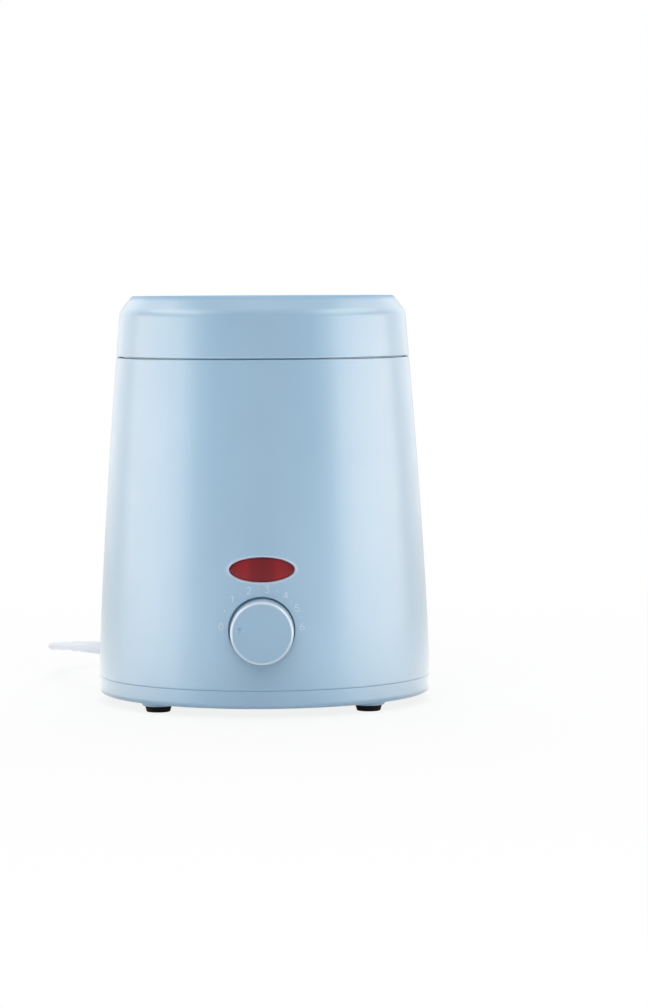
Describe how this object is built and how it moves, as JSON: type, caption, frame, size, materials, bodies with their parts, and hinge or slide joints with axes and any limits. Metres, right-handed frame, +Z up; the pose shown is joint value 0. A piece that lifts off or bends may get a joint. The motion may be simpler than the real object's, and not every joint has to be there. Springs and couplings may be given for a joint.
{
  "type": "wax warmer pot",
  "caption": "Tapered round wax warmer with a lift-off lid, a lift-out pot with a bail handle, a rotary heat knob, an indicator lens and a coiled mains lead.",
  "frame": {"origin": "on the pot's vertical axis, at the level of the feet's undersides", "axes": "+Z up, -Y towards the knob and the front, +X to the right seen from the front"},
  "size_m": [0.1469, 0.225, 0.1496],
  "materials": {
    "shell_plastic": "fine satin pastel blue moulding",
    "knob_plastic": "satin pastel blue moulding",
    "pot_aluminium": "spun and brushed",
    "cup_aluminium": "pressed, satin",
    "plated_steel": "zinc plated",
    "wire_steel": "bright drawn wire",
    "collar_plastic": "heat resistant moulding",
    "mica_band": "mica sheet",
    "glass_wool": "ceramic fibre blanket",
    "fuse_can": "tinned can",
    "copper": "drawn copper",
    "ceramic": "glazed ceramic",
    "red_lens": "clear red, glossy",
    "lamp_glass": "clear glass bulb",
    "white_plastic": "satin moulding",
    "lead_sheath": "soft white sheath",
    "brown_wire": "insulated core",
    "blue_wire": "insulated core",
    "red_wire": "insulated core",
    "foot_rubber": "soft black rubber",
    "tie_plastic": "soft strap",
    "plug_plastic": "satin moulding",
    "pin_metal": "nickel plated"
  },
  "bodies": {
    "housing": {"body_shell": "shell_plastic", "base_cover": "shell_plastic", "insulating_collar": "collar_plastic", "collar_screws": "plated_steel", "heating_cup": "cup_aluminium", "heater_band": "mica_band", "band_clamp": "plated_steel", "clamp_bolt": "plated_steel", "insulation_sleeve": "glass_wool", "thermal_fuse": "fuse_can", "fuse_clip": "plated_steel", "sensor_bulb": "copper", "sensor_clip": "plated_steel", "stud_spacer": "ceramic", "support_bracket": "plated_steel", "bracket_screws": "plated_steel", "cup_nut": "plated_steel", "thermostat_body": "ceramic", "thermostat_nut": "plated_steel", "capillary_tube": "copper", "indicator_lens": "red_lens", "neon_lamp": "lamp_glass", "lamp_holder": "white_plastic", "terminal_block": "ceramic", "terminal_screw": "plated_steel", "cord_clamp": "white_plastic", "cord_clamp_screws": "plated_steel", "inner_cord": "lead_sheath", "live_wires": "brown_wire", "neutral_wires": "blue_wire", "lamp_wires": "red_wire", "base_screws": "plated_steel", "foot_1": "foot_rubber", "foot_2": "foot_rubber", "foot_3": "foot_rubber", "foot_4": "foot_rubber", "strain_relief": "lead_sheath", "cord_lead": "lead_sheath", "cord_coil": "lead_sheath", "cord_tail": "lead_sheath", "cord_tie": "tie_plastic", "plug_body": "plug_plastic", "plug_pins": "pin_metal"},
    "pot": {"inner_pot": "pot_aluminium", "pot_ears": "plated_steel", "ear_rivets": "plated_steel"},
    "lid": {"lid": "shell_plastic"},
    "bail": {"bail_handle": "wire_steel"},
    "knob": {"knob": "knob_plastic", "knob_clip": "plated_steel", "thermostat_shaft": "plated_steel"}
  },
  "joints": [
    {"name": "knob_turn", "type": "hinge", "parent": "housing", "child": "knob", "pos_m": [0, -0.06, 0.0311], "axis": [0, 1, 0], "range_deg": [0, 168]},
    {"name": "pot_lift", "type": "slide", "parent": "housing", "child": "pot", "axis": [0, 0, 1], "range_m": [0, 0.075]},
    {"name": "lid_lift", "type": "slide", "parent": "pot", "child": "lid", "axis": [0, 0, 1], "range_m": [0, 0.09]},
    {"name": "bail_swing", "type": "hinge", "parent": "pot", "child": "bail", "pos_m": [0, 0, 0.127], "axis": [-1, 0, 0], "range_deg": [0, 93.6]}
  ],
  "couplings": [
    {"joint": "bail_swing", "follows": "lid_lift", "rad_per_m": 18.1}
  ]
}
